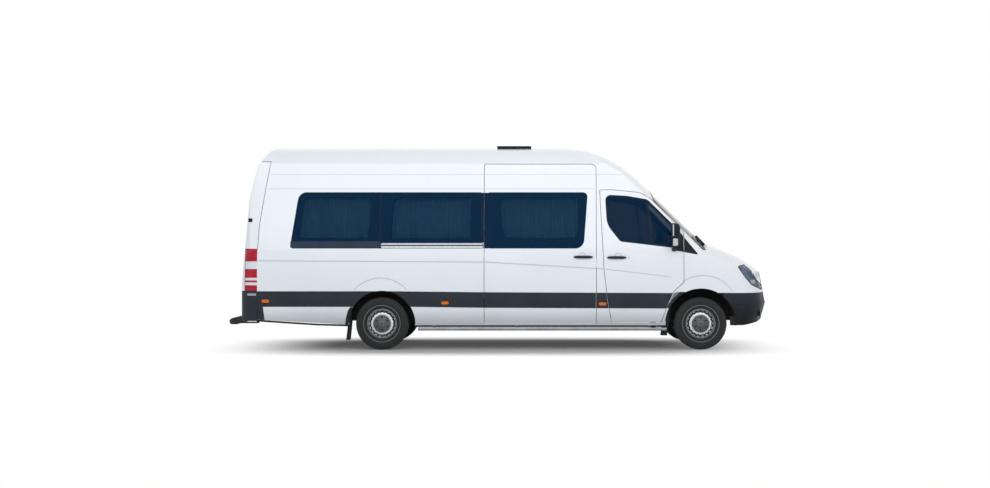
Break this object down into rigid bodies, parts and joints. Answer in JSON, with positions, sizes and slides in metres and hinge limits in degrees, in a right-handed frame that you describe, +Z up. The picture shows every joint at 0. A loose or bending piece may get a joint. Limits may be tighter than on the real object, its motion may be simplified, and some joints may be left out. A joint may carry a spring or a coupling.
{
  "type": "minibus",
  "caption": "Long-wheelbase high-roof minibus body on four wheels, with opening front and rear doors, bonnet and roof hatch, steered front wheels and a full cabin.",
  "frame": {"origin": "on the ground, midway along the length and across the width", "axes": "+X forward, +Y to the vehicle's left, +Z up"},
  "size_m": [7.4598, 2.4242, 2.8189],
  "materials": {
    "paint": "gloss",
    "dark_plastic": "satin",
    "glass": "gloss",
    "clear_lens": "gloss",
    "red_lens": "gloss",
    "rubber": "matt",
    "tyre": "matt",
    "wheel_paint": "satin",
    "chassis_steel": "satin",
    "bare_steel": "satin",
    "cast": "matt",
    "seat_cloth": "matt",
    "curtain_cloth": "matt"
  },
  "bodies": {
    "chassis": {"side_wall_right": "paint", "side_wall_left": "paint", "side_windows": "glass", "roof": "paint", "hatch_frame": "dark_plastic", "sliding_door": "paint", "tail_lights": "red_lens", "rear_bumper": "dark_plastic", "headlights": "clear_lens", "grille": "dark_plastic", "cowl": "dark_plastic", "wipers": "rubber", "front_wings": "paint", "front_bumper": "dark_plastic", "windscreen": "glass", "screen_frame": "paint", "floor": "chassis_steel", "bulkhead": "chassis_steel", "mud_flaps": "rubber", "wheel_houses": "dark_plastic", "frame_rails": "chassis_steel", "rear_step": "bare_steel", "side_steps": "bare_steel", "front_subframe": "cast", "rear_axle": "cast", "leaf_springs": "cast", "engine": "cast", "prop_shaft": "cast", "fuel_tank": "chassis_steel", "exhaust": "bare_steel", "dashboard": "dark_plastic", "steering_wheel": "dark_plastic", "front_seats": "seat_cloth", "passenger_seats": "seat_cloth", "curtains": "curtain_cloth", "curtain_rails": "dark_plastic"},
    "front_door_right": {"door_right": "paint", "door_glass_right": "glass", "mirror_right": "paint"},
    "front_door_left": {"door_left": "paint", "door_glass_left": "glass", "mirror_left": "paint"},
    "back_door_right": {"rear_door_right": "paint", "rear_glass_right": "glass"},
    "back_door_left": {"rear_door_left": "paint", "rear_glass_left": "glass"},
    "hood": {"bonnet": "paint"},
    "hatch": {"hatch_lid": "paint"},
    "steer_right": {"knuckle_right": "cast"},
    "steer_left": {"knuckle_left": "cast"},
    "wheel_front_right": {"tyre_front_right": "tyre", "rim_front_right": "wheel_paint"},
    "wheel_front_left": {"tyre_front_left": "tyre", "rim_front_left": "wheel_paint"},
    "wheel_rear_right": {"tyre_rear_right": "tyre", "rim_rear_right": "wheel_paint"},
    "wheel_rear_left": {"tyre_rear_left": "tyre", "rim_rear_left": "wheel_paint"}
  },
  "joints": [
    {"name": "front_door_right_hinge", "type": "hinge", "parent": "chassis", "child": "front_door_right", "pos_m": [2.49, -1.003, 1], "axis": [0, 0, 1], "range_deg": [0, 65]},
    {"name": "front_door_left_hinge", "type": "hinge", "parent": "chassis", "child": "front_door_left", "pos_m": [2.49, 1.003, 1], "axis": [0, 0, -1], "range_deg": [0, 65]},
    {"name": "back_door_right_hinge", "type": "hinge", "parent": "chassis", "child": "back_door_right", "pos_m": [-3.185, -1.003, 1], "axis": [0, 0, 1], "range_deg": [0, 180]},
    {"name": "back_door_left_hinge", "type": "hinge", "parent": "chassis", "child": "back_door_left", "pos_m": [-3.185, 1.003, 1], "axis": [0, 0, -1], "range_deg": [0, 180]},
    {"name": "hood_hinge", "type": "hinge", "parent": "chassis", "child": "hood", "pos_m": [2.836, 0, 1.474], "axis": [0, -1, 0], "range_deg": [0, 55]},
    {"name": "hatch_hinge", "type": "hinge", "parent": "chassis", "child": "hatch", "pos_m": [-0.062, 0, 2.802], "axis": [0, -1, 0], "range_deg": [0, 20]},
    {"name": "steer_right_pivot", "type": "hinge", "parent": "chassis", "child": "steer_right", "pos_m": [2.72, -0.78, 0.356], "axis": [0, 0, 1], "range_deg": [-33, 33]},
    {"name": "steer_left_pivot", "type": "hinge", "parent": "chassis", "child": "steer_left", "pos_m": [2.72, 0.78, 0.356], "axis": [0, 0, 1], "range_deg": [-33, 33]},
    {"name": "wheel_front_right_spin", "type": "hinge", "parent": "steer_right", "child": "wheel_front_right", "pos_m": [2.72, -0.852, 0.356], "axis": [0, 1, 0], "continuous": true},
    {"name": "wheel_front_left_spin", "type": "hinge", "parent": "steer_left", "child": "wheel_front_left", "pos_m": [2.72, 0.852, 0.356], "axis": [0, 1, 0], "continuous": true},
    {"name": "wheel_rear_right_spin", "type": "hinge", "parent": "chassis", "child": "wheel_rear_right", "pos_m": [-1.605, -0.852, 0.356], "axis": [0, 1, 0], "continuous": true},
    {"name": "wheel_rear_left_spin", "type": "hinge", "parent": "chassis", "child": "wheel_rear_left", "pos_m": [-1.605, 0.852, 0.356], "axis": [0, 1, 0], "continuous": true}
  ],
  "couplings": [
    {"joint": "steer_left_pivot", "follows": "steer_right_pivot", "ratio": 1}
  ]
}
